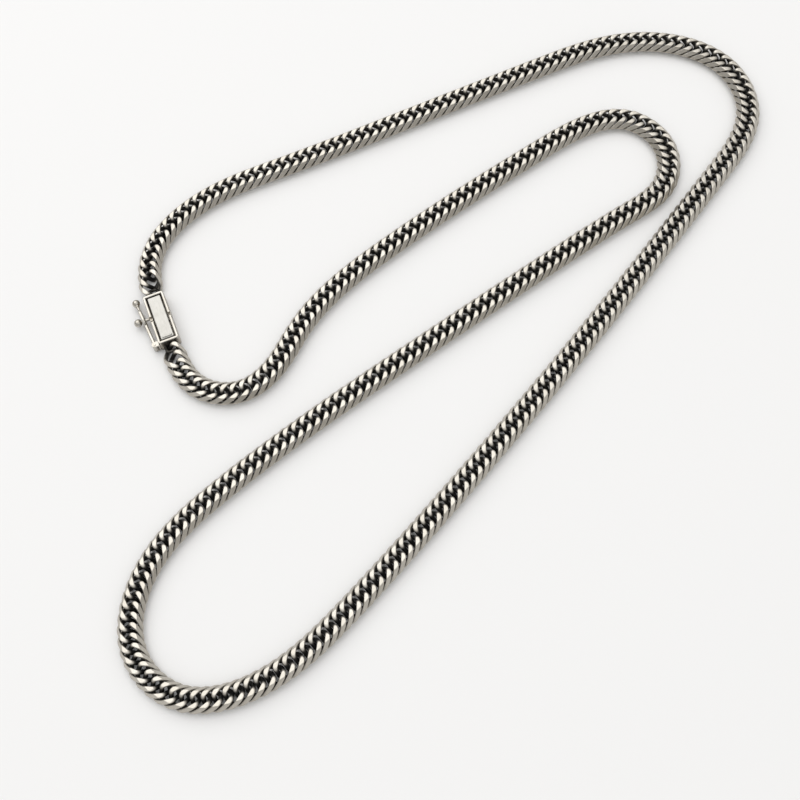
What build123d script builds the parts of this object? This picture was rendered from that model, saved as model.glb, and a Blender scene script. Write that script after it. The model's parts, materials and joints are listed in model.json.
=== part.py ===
"""Chain necklace: a six-sided double curb chain closed by a box clasp.

Millimetres, +Z up. The necklace lies flat on Z = 0, with the origin under the middle
of its outline. Every sub-part is written to parts/NODE.step.
"""

import os
from math import cos, radians, sin

from build123d import *

# Chain: every link passes through the next two on each side.
LINK_COUNT = 312
WIRE = 0.82  # diameter of the wire that the links are bent from
LINK_PLAY = 0.055  # slack between a link's end and the second link along
CORNER_BEND = 0.6  # centreline radius where the wire turns
CHAIN_WIDTH = 4.7
CHAIN_HEIGHT = 2.5
FLAT_WIDTH = 2.9  # width of the ground top and bottom faces

# Link corners, as offsets of the wire's centreline from the link's middle.
END_Y = 0.75
END_Z = 1.15
SHOULDER = (1.45, 1.45, 0.93)
EDGE = (0.6, 1.9, 0.5)

# The chain flexes after these links, counted from 0 at the socket half of the clasp.
FLEX_AFTER = (17, 37, 53, 79, 96, 116, 139, 146, 163, 172, 196, 210, 227, 259, 276, 279, 297)
LINKS_PER_NODE = 9

# Clasp, in its own frame: +X to its right, +Y along it to the socket end.
CLASP_CENTRE = (-54.5, 4.75)
CLASP_TURN = 22.0  # degrees from +Y, anticlockwise
CLASP_LENGTH = 10.6
CLASP_WIDTH = 4.0
CLASP_HEIGHT = 2.9
CLASP_WALL = 0.48
CLASP_FLOOR = 0.4
RIM_HEIGHT = 0.5
SPLIT_GAP = 0.2  # between the two halves when closed
RIM_GAP_LEFT = (-0.55, 0.7)  # where the two rims stop, on each long side
RIM_GAP_RIGHT = (-0.3, 0.4)
CORNER_ROUND = 0.45
EDGE_ROUND = 0.1

# Tongue: a plate on a folded leaf, which slides into the socket.
PLATE_WIDTH = 2.5
PLATE_LENGTH = 9.2
PLATE_THICKNESS = 0.35
PLATE_RECESS = 0.1
PLATE_ROUND = 0.2
THUMB_LIP = (1.9, 0.35, 0.2)  # width, depth and height above the plate
THUMB_LIP_Y = -4.2
LEAF_WIDTH = 2.2
LEAF_THICKNESS = 0.22
LEAF_HEIGHT = 0.8
FOLD_Y = 4.0
FOLD_Z = 1.4
FOLD_BEAD = 0.32
FOLD_CLEARANCE = 0.08

# Loops that the end links hang on.
LOOP_WIRE = 0.6
LOOP_HALF_WIDTH = 1.05
LOOP_REACH = 1.5
LOOP_BEND = 0.5
END_LINK_REACH = 2.94  # clasp's end face to the middle of the first link

# Safety latch on the left side, and the stud that it snaps over.
SIDE_HEIGHT = 1.3  # height of the latch's and the stud's middle
STUD_Y = 1.2
STUD_BALL_X = -4.4
STUD_BALL = 0.78
STUD_NECK = 0.28
STUD_FOOT = 0.5
HINGE = (-2.8, -4.8)
HINGE_PIN = 0.2
HINGE_HOLE = 0.22
EYE_RADIUS = 0.5
EYE_HOLE = 0.24
EYE_HEIGHT = 1.4
LUG_THICKNESS = 0.3
LUG_CLEARANCE = 0.05
PIN_HEAD = (0.3, 0.12)  # radius and height
LATCH_LEAN = 4.3  # degrees outward from the clasp's side
LATCH_THICKNESS = 0.6
SHANK_HEIGHT = 1.0
SHANK_ROUND = 0.14
SLOT_MIDDLE = 6.62  # from the hinge
SLOT_LENGTH = 2.95
SLOT_HEIGHT = 1.7
SLOT_BAND = 0.44  # width of the metal round the slot
STEM_RADIUS = 0.25
STEM_END = 9.3
COLLAR = (0.4, 0.25)  # radius and length
TIP_BALL = 0.75
TIP_BALL_AT = 10.15

# The way the chain lies, from the socket half round to the tongue half.
ROUTE = (
    (-57.75, 17.5),
    (-49.75, 29.75),
    (-33.75, 38.0),
    (-6.0, 50.0),
    (18.5, 60.75),
    (29.75, 65.0),
    (42.0, 66.0),
    (55.5, 59.0),
    (58.5, 49.0),
    (51.5, 35.0),
    (21.75, -3.75),
    (-3.75, -34.75),
    (-18.0, -51.0),
    (-34.0, -64.0),
    (-46.0, -65.5),
    (-54.0, -58.5),
    (-54.0, -45.5),
    (-40.5, -28.5),
    (-9.0, -4.0),
    (21.0, 17.5),
    (34.25, 26.5),
    (40.75, 32.0),
    (41.5, 41.5),
    (36.0, 47.0),
    (17.25, 40.75),
    (-11.25, 20.25),
    (-28.5, 2.5),
    (-33.0, -5.5),
    (-39.0, -10.0),
    (-47.25, -8.5),
)

CLASP_FRAME = Location((*CLASP_CENTRE, 0), (0, 0, CLASP_TURN))
CLASP_AXIS = Vector(-sin(radians(CLASP_TURN)), cos(radians(CLASP_TURN)), 0)
RIM_BASE = CLASP_HEIGHT - RIM_HEIGHT
CHAIN_MIDDLE = CHAIN_HEIGHT / 2


def chain_route():
    """Centreline of the chain, between the clasp's two end faces."""
    middle = Vector(*CLASP_CENTRE, 0)
    start = middle + CLASP_AXIS * (CLASP_LENGTH / 2)
    end = middle - CLASP_AXIS * (CLASP_LENGTH / 2)
    ends = (CLASP_AXIS, CLASP_AXIS)
    return Spline(start, *ROUTE, end, tangents=ends, tangent_scalars=(1, 1))


def round_tube(corners, bend, diameter):
    """Round wire that follows straight runs joined by round bends."""
    path = FilletPolyline(*corners, radius=bend)
    start = Plane(path @ 0, z_dir=path % 0)
    return sweep(start * Circle(diameter / 2), path=path)


def make_link(pitch):
    """One twisted link, ground flat on six sides."""
    end_x = pitch + WIRE / 2 + LINK_PLAY
    quarter = [(-end_x, 0, 0), (-end_x, END_Y, END_Z)]
    quarter += [(-x, y, z) for x, y, z in (SHOULDER, EDGE)]
    half = quarter + [(-x, y, -z) for x, y, z in reversed(quarter)]
    wire = round_tube(half, CORNER_BEND, WIRE)
    wire += Rot(180, 0, 0) * wire
    outline = [
        (CHAIN_WIDTH / 2, 0),
        (FLAT_WIDTH / 2, CHAIN_HEIGHT / 2),
        (-FLAT_WIDTH / 2, CHAIN_HEIGHT / 2),
        (-CHAIN_WIDTH / 2, 0),
        (-FLAT_WIDTH / 2, -CHAIN_HEIGHT / 2),
        (FLAT_WIDTH / 2, -CHAIN_HEIGHT / 2),
    ]
    ground = extrude(Plane.YZ * Polygon(*outline, align=None), 2 * end_x, both=True)
    return wire & ground


def place_links(route):
    """All the links, evenly spaced along the route and turned to follow it."""
    pitch = (route.length - 2 * END_LINK_REACH) / (LINK_COUNT - 1)
    link = make_link(pitch)
    placed = []
    for number in range(LINK_COUNT):
        along = END_LINK_REACH + number * pitch
        spot = route.position_at(along, position_mode=PositionMode.LENGTH)
        heading = route.tangent_at(along, position_mode=PositionMode.LENGTH)
        spot.Z = CHAIN_MIDDLE
        placed.append(Plane(spot, x_dir=heading).location * link)
    return placed


def chain_nodes(route):
    """Groups of neighbouring links; no group crosses a place where the chain flexes."""
    links = place_links(route)
    nodes = {}
    first = 0
    for last in (*FLEX_AFTER, LINK_COUNT - 1):
        run = links[first : last + 1]
        groups = -(-len(run) // LINKS_PER_NODE)
        for group in range(groups):
            low = group * len(run) // groups
            high = (group + 1) * len(run) // groups
            nodes[f"links_{len(nodes) + 1:02d}"] = Compound(children=run[low:high])
        first = last + 1
    return nodes


def block(x, y, z):
    """Box between pairs of limits."""
    size = Box(x[1] - x[0], y[1] - y[0], z[1] - z[0], align=(Align.MIN,) * 3)
    return Pos(x[0], y[0], z[0]) * size


def from_base(solid, *sizes):
    """Cylinder or cone that stands on the origin instead of being centred on it."""
    return solid(*sizes, align=(Align.CENTER, Align.CENTER, Align.MIN))


def clasp_half(end):
    """Open tray with three walls; end is +1 for the socket half, -1 for the tongue half."""
    half_width = CLASP_WIDTH / 2
    outer_y = sorted((end * SPLIT_GAP / 2, end * CLASP_LENGTH / 2))
    inner_y = sorted((0, end * (CLASP_LENGTH / 2 - CLASP_WALL)))
    tray = block((-half_width, half_width), outer_y, (0, RIM_BASE))
    corners = tray.edges().filter_by(Axis.Z).group_by(Axis.Y)[-1 if end > 0 else 0]
    tray = fillet(corners, CORNER_ROUND)
    inside = half_width - CLASP_WALL
    return tray - block((-inside, inside), inner_y, (CLASP_FLOOR, CLASP_HEIGHT))


def clasp_rim(end):
    """Polished U-shaped frame on top of one half."""
    half_width = CLASP_WIDTH / 2
    inside = half_width - CLASP_WALL
    outer = Rectangle(CLASP_WIDTH, CLASP_LENGTH)
    outer = fillet(outer.vertices(), CORNER_ROUND)
    window = Rectangle(2 * inside, CLASP_LENGTH - 2 * CLASP_WALL)
    frame = extrude(Pos(0, 0, RIM_BASE) * (outer - window), RIM_HEIGHT)
    frame = chamfer(frame.faces().sort_by(Axis.Z)[-1].edges(), EDGE_ROUND)
    side = 1 if end > 0 else 0
    far = end * CLASP_LENGTH
    left = sorted((RIM_GAP_LEFT[side], far))
    right = sorted((RIM_GAP_RIGHT[side], far))
    height = (0, 2 * CLASP_HEIGHT)
    keep = block((-CLASP_WIDTH, 0), left, height) + block((0, CLASP_WIDTH), right, height)
    return frame & keep


def end_loop(end):
    """Loop soldered to a clasp half's end face, with the first link hung on it."""
    face = end * CLASP_LENGTH / 2
    tip = end * (CLASP_LENGTH / 2 + LOOP_REACH)
    corners = [
        (-LOOP_HALF_WIDTH, face, CHAIN_MIDDLE),
        (-LOOP_HALF_WIDTH, tip, CHAIN_MIDDLE),
        (LOOP_HALF_WIDTH, tip, CHAIN_MIDDLE),
        (LOOP_HALF_WIDTH, face, CHAIN_MIDDLE),
    ]
    return round_tube(corners, LOOP_BEND, LOOP_WIRE)


def make_tongue_spring():
    """Leaf that is fixed in the tongue half and ends in the bead that the plate turns on."""
    foot_top = CLASP_FLOOR + LEAF_THICKNESS
    leaf_top = LEAF_HEIGHT + LEAF_THICKNESS
    side_view = [
        (-4.7, CLASP_FLOOR),
        (-2.6, CLASP_FLOOR),
        (-1.4, LEAF_HEIGHT),
        (FOLD_Y, LEAF_HEIGHT),
        (FOLD_Y + LEAF_THICKNESS / 2, FOLD_Z),
        (FOLD_Y - LEAF_THICKNESS / 2, FOLD_Z),
        (FOLD_Y - LEAF_THICKNESS, leaf_top),
        (-1.5, leaf_top),
        (-2.7, foot_top),
        (-4.7, foot_top),
    ]
    leaf = extrude(Plane.YZ * Polygon(*side_view, align=None), LEAF_WIDTH / 2, both=True)
    bead = Pos(0, FOLD_Y, FOLD_Z) * Rot(0, 90, 0) * Cylinder(FOLD_BEAD, LEAF_WIDTH)
    return leaf + bead


def make_tongue_plate():
    """Visible plate, with a hook at its front that wraps over the leaf's bead."""
    top = CLASP_HEIGHT - PLATE_RECESS
    base = top - PLATE_THICKNESS
    outline = RectangleRounded(PLATE_WIDTH, PLATE_LENGTH, PLATE_ROUND)
    plate = extrude(Pos(0, 0, base) * outline, PLATE_THICKNESS)
    plate = chamfer(plate.faces().sort_by(Axis.Z)[-1].edges(), EDGE_ROUND)
    lip = Pos(0, THUMB_LIP_Y, top + THUMB_LIP[2] / 2) * Box(*THUMB_LIP)
    lip = fillet(lip.faces().sort_by(Axis.Z)[-1].edges(), EDGE_ROUND)
    bore = FOLD_BEAD + FOLD_CLEARANCE
    hook = Rot(0, 90, 0) * Cylinder(bore + LEAF_THICKNESS, LEAF_WIDTH)
    hook -= Rot(0, 90, 0) * Cylinder(bore, LEAF_WIDTH)
    reach = bore + LEAF_THICKNESS
    hook &= block((-LEAF_WIDTH, LEAF_WIDTH), (-reach, reach), (0, reach))
    neck_x, neck_y = (-LEAF_WIDTH / 2, LEAF_WIDTH / 2), (-reach / 2, reach / 2)
    neck = block(neck_x, neck_y, (reach - LEAF_THICKNESS / 2, base - FOLD_Z))
    return plate + lip + Pos(0, FOLD_Y, FOLD_Z) * (hook + neck)


def make_catch_stud():
    """Ball on a neck, standing out from the socket half's left side."""
    wall = -CLASP_WIDTH / 2
    neck_length = wall - STUD_BALL_X
    neck = from_base(Cylinder, STUD_NECK, neck_length)
    neck += from_base(Cone, STUD_FOOT, STUD_NECK, STUD_FOOT / 2)
    stud = Pos(wall, STUD_Y, SIDE_HEIGHT) * Rot(0, -90, 0) * neck
    return stud + Pos(STUD_BALL_X, STUD_Y, SIDE_HEIGHT) * Sphere(STUD_BALL)


def make_hinge_lugs():
    """Pair of ears on the tongue half that carry the latch's pin."""
    wall = -CLASP_WIDTH / 2
    ear = Pos(*HINGE) * Circle(EYE_RADIUS)
    ear += Pos((wall + HINGE[0]) / 2, HINGE[1]) * Rectangle(wall - HINGE[0], 2 * EYE_RADIUS)
    ear -= Pos(*HINGE) * Circle(HINGE_HOLE)
    offset = EYE_HEIGHT / 2 + LUG_CLEARANCE
    upper = extrude(Pos(0, 0, SIDE_HEIGHT + offset) * ear, LUG_THICKNESS)
    lower = extrude(Pos(0, 0, SIDE_HEIGHT - offset - LUG_THICKNESS) * ear, LUG_THICKNESS)
    return Compound(children=[lower, upper])


def make_latch_pin():
    """Pin through the ears and the latch's eye, with a head at each end."""
    reach = EYE_HEIGHT / 2 + LUG_CLEARANCE + LUG_THICKNESS
    head_radius, head_height = PIN_HEAD
    pin = Cylinder(HINGE_PIN, 2 * reach + 2 * head_height)
    for way in (-1, 1):
        pin += Pos(0, 0, way * (reach + head_height / 2)) * Cylinder(head_radius, head_height)
    return Pos(*HINGE, SIDE_HEIGHT) * pin


def on_latch(shape):
    """Moves a shape from the latch's frame, with +Y from hinge to tip, to the clasp's."""
    return Pos(*HINGE, SIDE_HEIGHT) * Rot(0, 0, LATCH_LEAN) * shape


def make_latch_loop():
    """Latch: an eye, a flat shank, and a slot that passes over the stud's ball."""
    slot = SlotOverall(SLOT_LENGTH, SLOT_HEIGHT)
    band = SlotOverall(SLOT_LENGTH + 2 * SLOT_BAND, SLOT_HEIGHT + 2 * SLOT_BAND)
    shank = Pos(-SLOT_MIDDLE / 2, 0) * Rectangle(SLOT_MIDDLE, SHANK_HEIGHT)
    side_view = Plane.YZ * (Pos(SLOT_MIDDLE, 0) * (band - slot) + Pos(SLOT_MIDDLE, 0) * (shank - band))
    bar = extrude(side_view, LATCH_THICKNESS / 2, both=True)
    outer_edges = bar.faces().filter_by(Axis.X).edges()
    bar = chamfer(outer_edges, SHANK_ROUND)
    stem_start = SLOT_MIDDLE + SLOT_LENGTH / 2 + SLOT_BAND / 2
    stem = from_base(Cylinder, STEM_RADIUS, STEM_END - stem_start)
    bar += Pos(0, stem_start, 0) * Rot(-90, 0, 0) * stem
    bar += Cylinder(EYE_RADIUS, EYE_HEIGHT)
    return on_latch(bar - Cylinder(EYE_HOLE, EYE_HEIGHT))


def make_latch_ball():
    """Thumb ball with a collar, on the latch's tip."""
    collar = Pos(0, STEM_END, 0) * Rot(-90, 0, 0) * from_base(Cylinder, *COLLAR)
    return on_latch(collar + Pos(0, TIP_BALL_AT, 0) * Sphere(TIP_BALL))


def clasp_nodes():
    """Every piece of the clasp, in place."""
    pieces = {
        "socket_shell": clasp_half(1),
        "socket_rim": clasp_rim(1),
        "socket_end_loop": end_loop(1),
        "catch_stud": make_catch_stud(),
        "tongue_base": clasp_half(-1),
        "tongue_rim": clasp_rim(-1),
        "tongue_end_loop": end_loop(-1),
        "tongue_spring": make_tongue_spring(),
        "tongue_plate": make_tongue_plate(),
        "hinge_lugs": make_hinge_lugs(),
        "latch_pin": make_latch_pin(),
        "latch_loop": make_latch_loop(),
        "latch_ball": make_latch_ball(),
    }
    return {name: CLASP_FRAME * shape for name, shape in pieces.items()}


os.makedirs("parts", exist_ok=True)
for node, shape in {**clasp_nodes(), **chain_nodes(chain_route())}.items():
    export_step(shape, f"parts/{node}.step")
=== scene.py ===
"""Looks of the chain necklace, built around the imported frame.

Every link is rebuilt as a finely meshed wire with rounded edges on its ground faces. The
clasp keeps its CAD pieces, with bevelled edges and node materials. Lengths are in metres,
except those of one link, which are in millimetres.
"""

import json
import math
import random

import bpy
import numpy as np
from mathutils import Matrix, Vector


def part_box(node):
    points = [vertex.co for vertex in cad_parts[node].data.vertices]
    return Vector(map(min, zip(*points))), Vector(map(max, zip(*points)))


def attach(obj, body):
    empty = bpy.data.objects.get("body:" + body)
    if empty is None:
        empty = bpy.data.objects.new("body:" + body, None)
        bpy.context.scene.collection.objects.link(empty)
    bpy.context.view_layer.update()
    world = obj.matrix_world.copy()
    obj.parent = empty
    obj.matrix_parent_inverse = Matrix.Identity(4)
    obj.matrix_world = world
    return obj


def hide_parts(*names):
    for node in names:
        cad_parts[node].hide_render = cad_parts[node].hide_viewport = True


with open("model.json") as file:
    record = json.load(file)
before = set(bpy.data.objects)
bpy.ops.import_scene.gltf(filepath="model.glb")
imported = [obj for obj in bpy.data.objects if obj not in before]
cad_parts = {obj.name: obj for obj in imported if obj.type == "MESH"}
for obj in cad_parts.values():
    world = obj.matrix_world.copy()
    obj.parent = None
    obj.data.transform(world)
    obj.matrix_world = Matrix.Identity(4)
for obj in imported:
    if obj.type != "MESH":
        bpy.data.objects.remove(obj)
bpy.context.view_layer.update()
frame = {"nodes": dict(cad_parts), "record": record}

MM = 0.001
NODES = frame["nodes"]
BODIES = frame["record"]["behaviour"]["bodies"]
NODE_BODY = {node: body for body, nodes in BODIES.items() for node in nodes}
CHAIN_NODES = sorted(node for node in NODES if node.startswith("links_"))

# One link, in millimetres, about its own middle: +X along the chain, +Z up.
WIRE = 0.82  # diameter
CORNER_BEND = 0.6  # centreline radius where the wire turns
LINK_HALF_LENGTH = 2.342  # to the centreline of the end bars
END = (0.75, 1.15)  # y and z of the corners on the end bars
SHOULDER = (1.45, 1.45, 0.93)  # x, y and z of the corners under the ground edges
EDGE = (0.6, 1.9, 0.5)  # x, y and z of the corners at the chain's edges
CHAIN_HALF_WIDTH = 2.35
CHAIN_HALF_HEIGHT = 1.25
FLAT_HALF_WIDTH = 1.45
EDGE_ROUND = 0.035  # how softly the ground faces meet the wire
SWELL = 0.035  # extra radius of the wire under the ground edges
SWELL_REACH = 0.9
ARC_STEPS = 4
RUN_STEPS = 4
RING_STEPS = 28

# Variation from link to link.
SEED = 7
TILT_DEGREES = 0.5
SHIFT = 0.004
GRAIN_SHIFT = (9.0, 5.0, 7.0)  # how far the scratches move from one link to another

# Clasp, in metres, in its own frame: +X to its right, +Y along it to the socket end.
CLASP_CENTRE = Vector((-0.0545, 0.00475, 0))
CLASP_TURN = math.radians(22)

# Softened edges of the clasp's CAD pieces.
BEVEL = 0.00006
BEVEL_STEPS = 2
BEVEL_ANGLE = math.radians(35)

# Studio: the floor's grey, and the sky's strength from low down (first) to overhead.
FLOOR_GREY = 0.862
FLOOR_ROUGHNESS = 0.75
FLOOR_SIZE = 60
SKY_HEIGHTS = (0.1, 0.9)
SKY_STRENGTHS = (0.45, 0.8)
LIGHT_SIZE = 1.4
KEY_PLACE = (-0.38, 0.48, 0.9)
KEY_POWER = 6.2
FILL_PLACE = (0.5, -0.3, 1.2)
FILL_POWER = 1.5

# Camera.
TARGET = Vector((-0.0095, -0.0115, 0))
DISTANCE = 0.2375
AZIMUTH = math.radians(8)
ELEVATION = math.radians(67)
ROLL = math.radians(-8)
LENS = 58.5
SENSOR = 36


# ---------------------------------------------------------------- materials


class Nodes:
    """Short names for building a node material."""

    def __init__(self, name):
        self.material = bpy.data.materials.new(name)
        self.material.use_nodes = True
        self.tree = self.material.node_tree
        self.shader = self.tree.nodes["Principled BSDF"]

    def put(self, value, socket):
        """Links an output to a socket, or sets the socket's own value."""
        if isinstance(value, bpy.types.NodeSocket):
            self.tree.links.new(value, socket)
        else:
            socket.default_value = value

    def finish(self, colour, metallic, roughness):
        """Sets the shader's main inputs, each to a number or to another node's output."""
        self.put(colour, self.shader.inputs["Base Color"])
        self.put(metallic, self.shader.inputs["Metallic"])
        self.put(roughness, self.shader.inputs["Roughness"])

    def attribute(self, name, output="Fac"):
        node = self.tree.nodes.new("ShaderNodeAttribute")
        node.attribute_name = name
        return node.outputs[output]

    def math(self, operation, a, b=0.0):
        node = self.tree.nodes.new("ShaderNodeMath")
        node.operation = operation
        self.put(a, node.inputs[0])
        self.put(b, node.inputs[1])
        return node.outputs[0]

    def mix(self, factor, a, b):
        node = self.tree.nodes.new("ShaderNodeMix")
        node.data_type = "RGBA"
        self.put(factor, node.inputs["Factor"])
        self.put(a, node.inputs["A"])
        self.put(b, node.inputs["B"])
        return node.outputs["Result"]

    def ramp(self, value, low, high, from_value=0.0, to_value=1.0):
        """Value taken smoothly from the range low..high to from_value..to_value."""
        node = self.tree.nodes.new("ShaderNodeMapRange")
        node.interpolation_type = "SMOOTHSTEP"
        self.put(value, node.inputs["Value"])
        numbers = {"From Min": low, "From Max": high, "To Min": from_value, "To Max": to_value}
        for name, number in numbers.items():
            node.inputs[name].default_value = number
        return node.outputs["Result"]

    def place(self, source, scale):
        """Coordinates stretched by a scale for each axis."""
        node = self.tree.nodes.new("ShaderNodeMapping")
        self.put(source, node.inputs["Vector"])
        node.inputs["Scale"].default_value = scale
        return node.outputs["Vector"]

    def noise(self, vector, scale, detail=2.0, roughness=0.5):
        node = self.tree.nodes.new("ShaderNodeTexNoise")
        self.put(vector, node.inputs["Vector"])
        node.inputs["Scale"].default_value = scale
        node.inputs["Detail"].default_value = detail
        node.inputs["Roughness"].default_value = roughness
        return node.outputs["Fac"]

    def object_coordinates(self):
        return self.tree.nodes.new("ShaderNodeTexCoord").outputs["Object"]

    def steepness(self):
        """Upward part of the surface's direction, without its sign: 1 on level faces."""
        turned = self.tree.nodes.new("ShaderNodeSeparateXYZ")
        self.put(self.tree.nodes.new("ShaderNodeTexCoord").outputs["Normal"], turned.inputs[0])
        return self.math("ABSOLUTE", turned.outputs["Z"])

    def bump(self, height, strength, distance):
        node = self.tree.nodes.new("ShaderNodeBump")
        self.put(height, node.inputs["Height"])
        node.inputs["Strength"].default_value = strength
        node.inputs["Distance"].default_value = distance
        self.put(node.outputs["Normal"], self.shader.inputs["Normal"])


def rgb(r, g, b):
    return (r, g, b, 1.0)


SILVER = rgb(0.66, 0.635, 0.585)
WORN_SILVER = rgb(0.47, 0.44, 0.385)
# Darker silver: painted shade on the links' steep side faces; on the satin clasp pieces, the worn
# tone of their grain.
SIDE_SILVER = rgb(0.45, 0.405, 0.34)
POLISHED_SILVER = rgb(0.58, 0.56, 0.52)
PEARLY_SILVER = rgb(0.56, 0.55, 0.52)
WORN_PEARLY = rgb(0.47, 0.46, 0.43)
# Near black and dark grey: oxide together with painted shade, in the links' recesses and the
# clasp's hollows; the end loops take them as their own oxidised colour.
BLACK_OXIDE_AND_SHADE = rgb(0.010, 0.009, 0.008)
GREY_OXIDE_AND_SHADE = rgb(0.10, 0.095, 0.086)


def link_material():
    """Ground silver: bright outer faces; oxide and painted shade where the wire dips inside."""
    n = Nodes("ground_silver")
    depth = n.attribute("depth")
    tone = n.attribute("tone")
    local = n.attribute("local", "Vector")
    # Oxide and painted shade: the further the wire dips inside the ground faces, the darker it is
    # painted, grey and then near black, with a blotchy edge.
    blotch = n.noise(local, 1.3, 3.0, 0.6)
    wobble = n.math("MULTIPLY_ADD", blotch, 0.16)
    wobble.node.inputs[2].default_value = -0.08
    buried = n.math("ADD", depth, wobble)
    dark = n.ramp(buried, 0.06, 0.42)
    black = n.ramp(buried, 0.22, 0.75)
    scratch = n.noise(n.place(local, (1.2, 14.0, 14.0)), 2.0, 3.0, 0.65)
    fine = n.noise(n.place(local, (3.0, 60.0, 60.0)), 2.0, 2.0, 0.6)
    wear = n.math("MULTIPLY", n.math("ADD", scratch, fine), 0.5)
    silver = n.mix(n.ramp(wear, 0.38, 0.62), WORN_SILVER, SILVER)
    silver = n.mix(n.math("MULTIPLY", tone, 0.6), silver, WORN_SILVER)
    # Painted shade: steep side faces are turned towards a darker silver.
    painted_side_shade = n.ramp(n.steepness(), 0.35, 0.75, 1.0, 0.0)
    silver = n.mix(n.math("MULTIPLY", painted_side_shade, 0.55), silver, SIDE_SILVER)
    # Painted shade and oxide in the recesses.
    colour = n.mix(dark, silver, GREY_OXIDE_AND_SHADE)
    colour = n.mix(black, colour, BLACK_OXIDE_AND_SHADE)
    rough = n.math("ADD", n.ramp(dark, 0.0, 1.0, 0.24, 0.5), n.math("MULTIPLY", wear, 0.14))
    n.finish(colour, n.ramp(dark, 0.0, 1.0, 1.0, 0.55), rough)
    height = n.math("ADD", n.math("MULTIPLY", scratch, 0.7), n.math("MULTIPLY", fine, 0.3))
    n.bump(height, 0.35, 0.00002)
    return n.material


def clasp_material(name, colour, worn, rough, grain, low, high):
    """Silver with a fine grain along the clasp, and painted shade in its hollows."""
    n = Nodes(name)
    place = n.object_coordinates()
    turn = n.tree.nodes.new("ShaderNodeMapping")
    n.put(place, turn.inputs["Vector"])
    turn.vector_type = "TEXTURE"
    turn.inputs["Location"].default_value = CLASP_CENTRE
    turn.inputs["Rotation"].default_value = (0, 0, CLASP_TURN)
    along = n.place(turn.outputs["Vector"], (1 / MM, 0.12 / MM, 1 / MM))
    lines = n.noise(along, grain, 3.0, 0.6)
    cloud = n.noise(n.place(place, (1 / MM,) * 3), 0.55, 4.0, 0.6)
    shade = n.math("ADD", n.math("MULTIPLY", lines, 0.5), n.math("MULTIPLY", cloud, 0.5))
    metal = n.mix(n.ramp(shade, 0.36, 0.64), worn, colour)
    # Painted shade: hollows found by ambient occlusion are mixed towards near black.
    hollow = n.tree.nodes.new("ShaderNodeAmbientOcclusion")
    hollow.inputs["Distance"].default_value = 0.0007
    hollow.samples = 8
    hollow_shade = n.ramp(hollow.outputs["AO"], low, high, 1.0, 0.0)
    wide = n.math("MULTIPLY_ADD", shade, 0.12)
    wide.node.inputs[2].default_value = rough
    wide = n.math("MAXIMUM", wide, n.math("MULTIPLY", hollow_shade, 0.5))
    n.finish(n.mix(hollow_shade, metal, BLACK_OXIDE_AND_SHADE), n.ramp(hollow_shade, 0.0, 1.0, 1.0, 0.6), wide)
    n.bump(lines, 0.25, 0.00001)
    return n.material


# ---------------------------------------------------------------- the chain


def rounded_corner(before, corner, after):
    """Points of the bend that joins two straight runs."""
    back = (before - corner) / np.linalg.norm(before - corner)
    on = (after - corner) / np.linalg.norm(after - corner)
    half = math.acos(float(back @ on)) / 2
    reach = CORNER_BEND / math.tan(half)
    middle_way = (back + on) / np.linalg.norm(back + on)
    centre = corner + middle_way * CORNER_BEND / math.sin(half)
    start, end = corner + back * reach - centre, corner + on * reach - centre
    sweep = math.pi - 2 * half
    angles = np.linspace(0, 1, ARC_STEPS + 1)
    weights = [(math.sin((1 - t) * sweep), math.sin(t * sweep)) for t in angles]
    return [centre + (a * start + b * end) / math.sin(sweep) for a, b in weights]


def link_centreline():
    """Closed line of the link's wire: twelve corners, rounded, and the runs between them."""
    quarter = [(-x, y, z) for x, y, z in ((LINK_HALF_LENGTH, *END), SHOULDER, EDGE)]
    half = quarter + [(-x, y, -z) for x, y, z in reversed(quarter)]
    corners = np.array(half + [(x, -y, -z) for x, y, z in reversed(half)])
    count = len(corners)
    bends = [
        rounded_corner(corners[i - 1], corners[i], corners[(i + 1) % count]) for i in range(count)
    ]
    line = []
    for bend, following in zip(bends, bends[1:] + bends[:1]):
        line += bend
        steps = np.linspace(0, 1, RUN_STEPS + 1)[1:-1, None]
        line += list(bend[-1] + steps * (following[0] - bend[-1]))
    return np.array(line)


def carried_frames(line):
    """Two directions across the line at each point, turned as little as possible on the way."""
    tangents = np.roll(line, -1, 0) - np.roll(line, 1, 0)
    tangents /= np.linalg.norm(tangents, axis=1, keepdims=True)
    across = np.cross(tangents[0], (0, 0, 1))
    across /= np.linalg.norm(across)
    sides = []
    for tangent in tangents:
        across = across - tangent * (across @ tangent)
        across /= np.linalg.norm(across)
        sides.append(across)
    sides = np.array(sides)
    last = sides[-1] - tangents[0] * (sides[-1] @ tangents[0])
    last /= np.linalg.norm(last)
    ups = np.cross(tangents, sides)
    slip = math.atan2(float(last @ ups[0]), float(last @ sides[0]))
    turns = -slip * np.arange(len(line))[:, None] / len(line)
    return sides * np.cos(turns) + ups * np.sin(turns), ups * np.cos(turns) - sides * np.sin(turns)


def ground_faces():
    """Outward normals and distances of the six faces that the chain is ground to."""
    faces = [((0, 0, 1), CHAIN_HALF_HEIGHT), ((0, 0, -1), CHAIN_HALF_HEIGHT)]
    rise = CHAIN_HALF_WIDTH - FLAT_HALF_WIDTH
    length = math.hypot(CHAIN_HALF_HEIGHT, rise)
    for side in (-1, 1):
        for up in (-1, 1):
            normal = (0, side * CHAIN_HALF_HEIGHT / length, up * rise / length)
            faces.append((normal, CHAIN_HALF_WIDTH * CHAIN_HALF_HEIGHT / length))
    return [(np.array(normal), distance) for normal, distance in faces]


def grind(points):
    """Presses what stands outside the six faces back onto them, with a soft edge."""
    points = points.copy()
    for normal, distance in ground_faces():
        out = points @ normal - distance
        soft = out - (out + EDGE_ROUND) ** 2 / (4 * EDGE_ROUND)
        target = np.where(out > EDGE_ROUND, 0, np.where(out < -EDGE_ROUND, out, soft))
        points += (target - out)[:, None] * normal
    return points


def depth_below_faces(points):
    """Distance of each point inside the six faces."""
    return np.min([distance - points @ normal for normal, distance in ground_faces()], axis=0)


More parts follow.
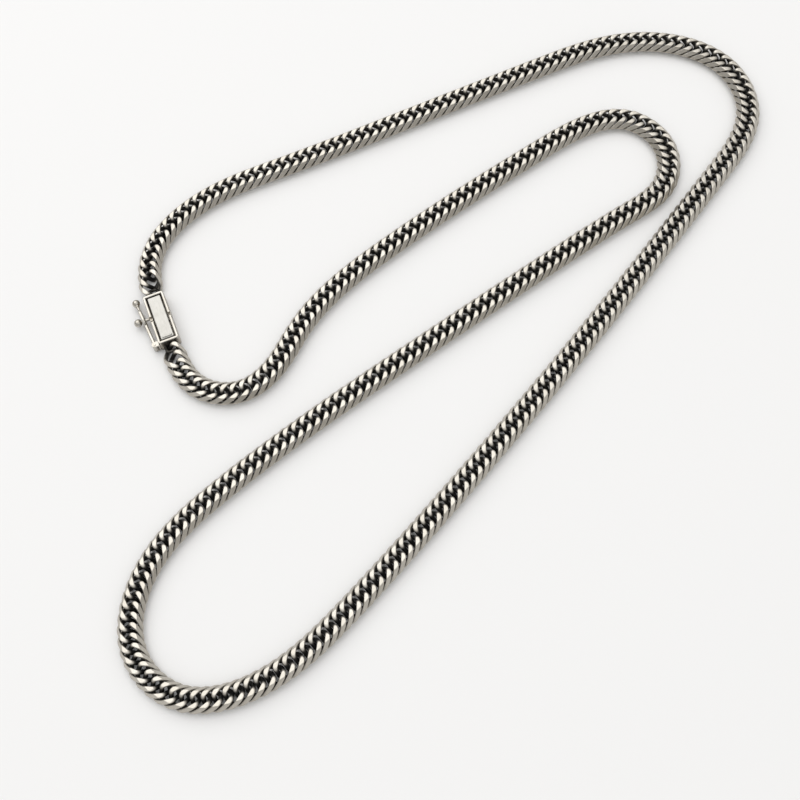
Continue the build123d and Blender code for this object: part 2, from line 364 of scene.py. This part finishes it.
def make_link():
    """Vertices in millimetres and the four-sided faces of one link."""
    line = link_centreline()
    sides, ups = carried_frames(line)
    angles = np.linspace(0, 2 * math.pi, RING_STEPS, endpoint=False)[None, :, None]
    shoulder = np.abs(np.abs(line[:, 0]) - SHOULDER[0]) / SWELL_REACH
    radius = (WIRE / 2 + SWELL * np.clip(1 - shoulder, 0, 1))[:, None, None]
    outward = sides[:, None] * np.cos(angles) + ups[:, None] * np.sin(angles)
    rings = line[:, None] + radius * outward
    along, around = np.meshgrid(np.arange(len(line)), np.arange(RING_STEPS), indexing="ij")
    next_along = (along + 1) % len(line)
    next_around = (around + 1) % RING_STEPS
    corners = [
        (along, around),
        (along, next_around),
        (next_along, next_around),
        (next_along, around),
    ]
    quads = np.stack([a * RING_STEPS + b for a, b in corners], axis=-1).reshape(-1, 4)
    return grind(rings.reshape(-1, 3)), quads


def separate_solids(mesh):
    """Middles of the separate solids of a CAD mesh, in metres."""
    points = np.empty(len(mesh.vertices) * 3)
    mesh.vertices.foreach_get("co", points)
    points = points.reshape(-1, 3)
    _, welded = np.unique(np.round(points / 1e-7).astype(np.int64), axis=0, return_inverse=True)
    welded = welded.reshape(-1)
    edges = np.empty(len(mesh.edges) * 2, np.int64)
    mesh.edges.foreach_get("vertices", edges)
    a, b = welded[edges.reshape(-1, 2)].T
    label = np.arange(welded.max() + 1)
    while True:
        low = np.minimum(label[a], label[b])
        new = label.copy()
        np.minimum.at(new, a, low)
        np.minimum.at(new, b, low)
        new = new[new]
        if (new == label).all():
            break
        label = new
    label = label[welded]
    return [(points[label == k].min(0) + points[label == k].max(0)) / 2 for k in np.unique(label)]


def ordered_links():
    """Node and middle of every link, in order from the clasp's socket half."""
    low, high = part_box("socket_end_loop")
    here = np.array((low + high) / 2)
    links = []
    for node in CHAIN_NODES:
        waiting = separate_solids(NODES[node].data)
        while waiting:
            nearest = min(range(len(waiting)), key=lambda k: np.linalg.norm(waiting[k] - here))
            here = waiting.pop(nearest)
            links.append((node, here))
    return links


def mesh_object(name, points, faces, material):
    mesh = bpy.data.meshes.new(name)
    mesh.from_pydata(points.tolist(), [], faces.tolist())
    mesh.polygons.foreach_set("use_smooth", np.ones(len(faces), bool))
    mesh.materials.append(material)
    thing = bpy.data.objects.new(name, mesh)
    bpy.context.scene.collection.objects.link(thing)
    return thing


def add_attribute(mesh, name, kind, values):
    layer = mesh.attributes.new(name, kind, "POINT")
    field = "vector" if kind == "FLOAT_VECTOR" else "value"
    layer.data.foreach_set(field, np.asarray(values, np.float32).ravel())


def build_chain(material):
    """One piece for each chain node, made of its links."""
    rng = random.Random(SEED)
    points, quads = make_link()
    depth = depth_below_faces(points)
    links = ordered_links()
    middles = np.array([middle for _, middle in links])
    groups = {}
    for number, (node, middle) in enumerate(links):
        ahead = middles[min(number + 1, len(links) - 1)] - middles[max(number - 1, 0)]
        turn = Matrix.Rotation(math.atan2(ahead[1], ahead[0]), 3, "Z")
        for axis in "XYZ":
            tilt = math.radians(rng.uniform(-TILT_DEGREES, TILT_DEGREES))
            turn = turn @ Matrix.Rotation(tilt, 3, axis)
        shift = np.array([rng.uniform(-SHIFT, SHIFT) for _ in range(3)])
        place = (points + shift) @ np.array(turn).T * MM + middle
        groups.setdefault(node, []).append((place, rng.random()))
    for node, placed in groups.items():
        count = len(placed)
        faces = np.concatenate([quads + k * len(points) for k in range(count)])
        vertices = np.concatenate([place for place, _ in placed])
        piece = mesh_object("silver_" + node, vertices, faces, material)
        offsets = np.concatenate([points + np.multiply(GRAIN_SHIFT, tone) for _, tone in placed])
        add_attribute(piece.data, "local", "FLOAT_VECTOR", offsets)
        add_attribute(piece.data, "depth", "FLOAT", np.tile(depth, count))
        tones = np.repeat([tone for _, tone in placed], len(points))
        add_attribute(piece.data, "tone", "FLOAT", tones)
        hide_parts(node)
        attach(piece, NODE_BODY[node])


# ---------------------------------------------------------------- the clasp


def finish_cad_node(node, material):
    """Keeps a CAD piece, with softened edges and a better material."""
    thing = NODES[node]
    thing.data.materials.clear()
    thing.data.materials.append(material)
    soften = thing.modifiers.new("soft_edges", "BEVEL")
    soften.width = BEVEL
    soften.segments = BEVEL_STEPS
    soften.limit_method = "ANGLE"
    soften.angle_limit = BEVEL_ANGLE


def dress_clasp():
    polished = clasp_material(
        "polished_silver", POLISHED_SILVER, WORN_SILVER, 0.2, 2.0, 0.25, 0.6
    )
    satin = clasp_material("satin_silver", WORN_SILVER, SIDE_SILVER, 0.3, 3.0, 0.3, 0.7)
    dark = clasp_material("oxidised_silver", GREY_OXIDE_AND_SHADE, BLACK_OXIDE_AND_SHADE, 0.45, 3.0, 0.3, 0.7)
    plate = clasp_material("plate_silver", PEARLY_SILVER, WORN_PEARLY, 0.42, 5.0, 0.12, 0.35)
    for node in ("socket_shell", "tongue_base", "tongue_spring"):
        finish_cad_node(node, satin)
    for node in ("socket_end_loop", "tongue_end_loop"):
        finish_cad_node(node, dark)
    polished_nodes = ("socket_rim", "tongue_rim", "catch_stud")
    for node in polished_nodes + ("hinge_lugs", "latch_pin", "latch_loop", "latch_ball"):
        finish_cad_node(node, polished)
    finish_cad_node("tongue_plate", plate)


# ---------------------------------------------------------------- the studio


def add_floor():
    n = Nodes("pale_floor")
    n.finish(rgb(FLOOR_GREY, FLOOR_GREY, FLOOR_GREY), 0.0, FLOOR_ROUGHNESS)
    bpy.ops.mesh.primitive_plane_add(size=FLOOR_SIZE, location=(0, 0, 0))
    floor = bpy.context.object
    floor.name = "floor"
    floor.data.materials.append(n.material)


def add_light(name, place, power, colour):
    data = bpy.data.lights.new(name, "AREA")
    data.shape = "DISK"
    data.size = LIGHT_SIZE
    data.energy = power
    data.color = colour
    lamp = bpy.data.objects.new(name, data)
    lamp.location = place
    lamp.rotation_euler = (-Vector(place)).to_track_quat("-Z", "Y").to_euler()
    bpy.context.scene.collection.objects.link(lamp)


def add_world():
    world = bpy.data.worlds.new("studio")
    world.use_nodes = True
    tree = world.node_tree
    direction = tree.nodes.new("ShaderNodeTexCoord")
    height = tree.nodes.new("ShaderNodeSeparateXYZ")
    tree.links.new(direction.outputs["Generated"], height.inputs[0])
    dome = tree.nodes.new("ShaderNodeMapRange")
    dome.interpolation_type = "SMOOTHSTEP"
    names = ("From Min", "From Max", "To Min", "To Max")
    for name, number in zip(names, SKY_HEIGHTS + SKY_STRENGTHS):
        dome.inputs[name].default_value = number
    tree.links.new(height.outputs["Z"], dome.inputs["Value"])
    back = tree.nodes["Background"]
    back.inputs["Color"].default_value = rgb(1.0, 0.995, 0.985)
    tree.links.new(dome.outputs["Result"], back.inputs["Strength"])
    bpy.context.scene.world = world
    bpy.context.scene.view_settings.view_transform = "Standard"


def add_camera():
    back = Vector(
        (
            math.sin(AZIMUTH) * math.cos(ELEVATION),
            -math.cos(AZIMUTH) * math.cos(ELEVATION),
            math.sin(ELEVATION),
        )
    )
    level = Vector((math.cos(AZIMUTH), math.sin(AZIMUTH), 0))
    right = level * math.cos(ROLL) + back.cross(level) * math.sin(ROLL)
    data = bpy.data.cameras.new("camera")
    data.lens = LENS
    data.sensor_width = SENSOR
    data.clip_start = 0.01
    camera = bpy.data.objects.new("camera", data)
    turned = Matrix((right, back.cross(right), back)).transposed().to_4x4()
    camera.matrix_world = Matrix.Translation(TARGET + back * DISTANCE) @ turned
    bpy.context.scene.collection.objects.link(camera)
    bpy.context.scene.camera = camera


add_floor()
add_world()
add_light("key", KEY_PLACE, KEY_POWER, (1, 0.99, 0.975))
add_light("fill", FILL_PLACE, FILL_POWER, (0.98, 0.99, 1))
add_camera()
build_chain(link_material())
dress_clasp()

bpy.context.view_layer.update()
